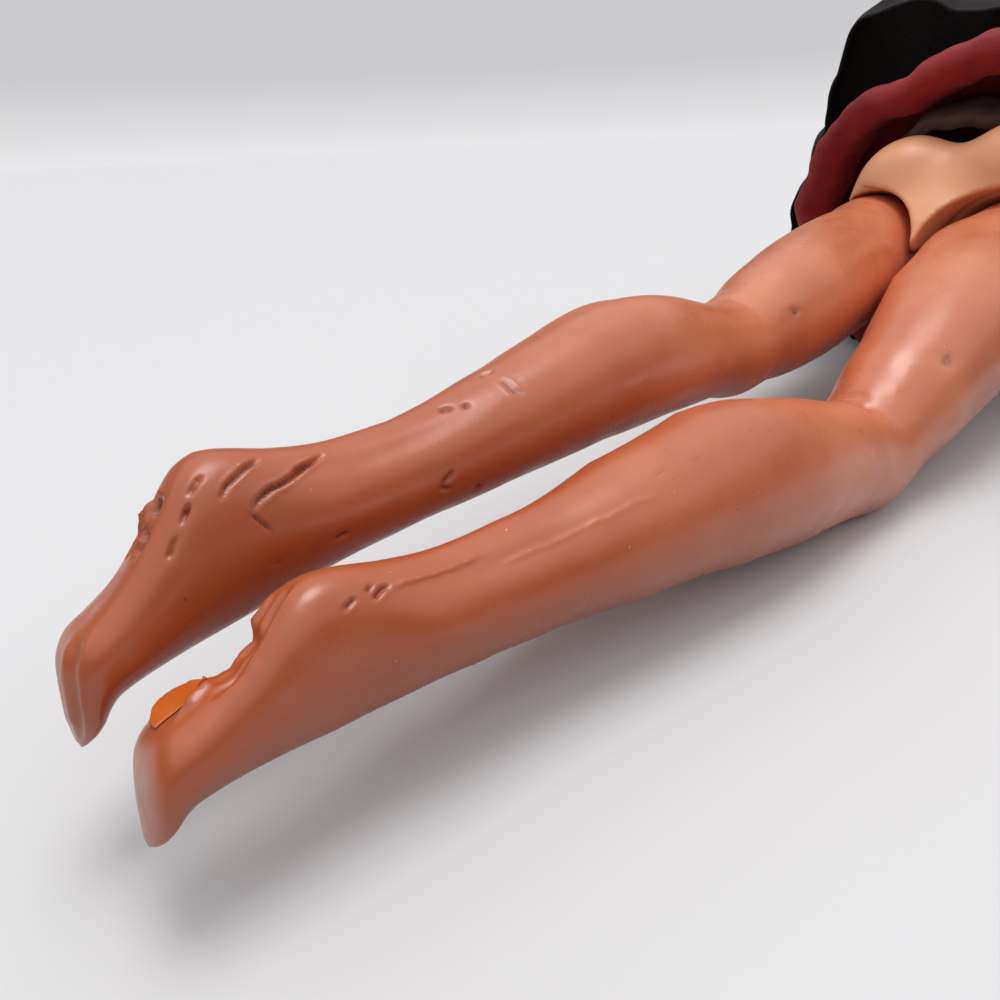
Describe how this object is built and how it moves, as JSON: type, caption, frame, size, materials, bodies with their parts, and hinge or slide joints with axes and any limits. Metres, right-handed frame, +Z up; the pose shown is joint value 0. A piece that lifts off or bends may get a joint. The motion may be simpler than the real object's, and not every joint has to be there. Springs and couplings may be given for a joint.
{
  "type": "fashion doll",
  "caption": "Slim plastic fashion doll lying face down, with twist waist, swivel head, hinged arms, hips and bending vinyl knees, in a strapless dress with a bunched tiered skirt.",
  "frame": {"origin": "middle of the doll's box on the surface that the doll lies on", "axes": "+Y from the feet to the hands and head, +X to the doll's right, +Z up from the surface, through the doll's back"},
  "size_m": [0.1168, 0.3152, 0.0686],
  "materials": {
    "leg_vinyl": "satin",
    "body_plastic": "satin",
    "head_vinyl": "satin",
    "bone_plastic": "matte",
    "steel": "satin",
    "red_cloth": "matte",
    "black_cloth": "matte",
    "hair_fibre": "satin"
  },
  "bodies": {
    "pelvis": {"pelvis_front_shell": "body_plastic", "pelvis_back_shell": "body_plastic", "hip_axle": "steel", "waist_spindle": "bone_plastic", "waistband": "black_cloth", "skirt_hem_tier": "red_cloth", "skirt_lining": "black_cloth", "skirt_over_tier": "black_cloth"},
    "chest": {"chest_front_shell": "body_plastic", "chest_back_shell": "body_plastic", "neck_post": "body_plastic", "bodice": "red_cloth", "bodice_snap_1": "steel", "bodice_snap_2": "steel", "bodice_snap_3": "steel"},
    "head": {"head_shell": "head_vinyl", "hair": "hair_fibre"},
    "arm_left": {"arm_left": "head_vinyl", "shoulder_plug_left": "bone_plastic"},
    "arm_right": {"arm_right": "head_vinyl", "shoulder_plug_right": "bone_plastic"},
    "thigh_left": {"thigh_skin_left": "leg_vinyl", "knee_skin_left": "leg_vinyl", "thigh_bone_left": "bone_plastic"},
    "shin_left": {"shin_skin_left": "leg_vinyl", "shin_bone_left": "bone_plastic", "knee_pin_left": "steel"},
    "thigh_right": {"thigh_skin_right": "leg_vinyl", "knee_skin_right": "leg_vinyl", "thigh_bone_right": "bone_plastic"},
    "shin_right": {"shin_skin_right": "leg_vinyl", "shin_bone_right": "bone_plastic", "knee_pin_right": "steel"}
  },
  "joints": [
    {"name": "waist_twist", "type": "hinge", "parent": "pelvis", "child": "chest", "pos_m": [0, 0.02778, 0.03174], "axis": [0, 0.9796, 0.2011], "range_deg": [-45, 45]},
    {"name": "neck_swivel", "type": "hinge", "parent": "chest", "child": "head", "pos_m": [0, 0.09537, 0.04561], "axis": [0, 0.9796, 0.2011], "range_deg": [-80, 80]},
    {"name": "shoulder_left", "type": "hinge", "parent": "chest", "child": "arm_left", "pos_m": [-0.02492, 0.07578, 0.04159], "axis": [1, 0, 0], "range_deg": [-190, 34]},
    {"name": "hip_left", "type": "hinge", "parent": "pelvis", "child": "thigh_left", "pos_m": [-0.0123, -0.00651, 0.0247], "axis": [1, 0, 0], "range_deg": [-13.1, 91.9]},
    {"name": "knee_left", "type": "hinge", "parent": "thigh_left", "child": "shin_left", "pos_m": [-0.00589, -0.06546, 0.01965], "axis": [1, 0, 0], "range_deg": [-70.1, 4.9], "deforming": ["knee_skin_left"]},
    {"name": "shoulder_right", "type": "hinge", "parent": "chest", "child": "arm_right", "pos_m": [0.02492, 0.07578, 0.04159], "axis": [1, 0, 0], "range_deg": [-190, 34]},
    {"name": "hip_right", "type": "hinge", "parent": "pelvis", "child": "thigh_right", "pos_m": [0.0123, -0.00651, 0.0247], "axis": [1, 0, 0], "range_deg": [-24, 81]},
    {"name": "knee_right", "type": "hinge", "parent": "thigh_right", "child": "shin_right", "pos_m": [0.01458, -0.06357, 0.00793], "axis": [1, 0, 0], "range_deg": [-53.6, 21.4], "deforming": ["knee_skin_right"]}
  ]
}
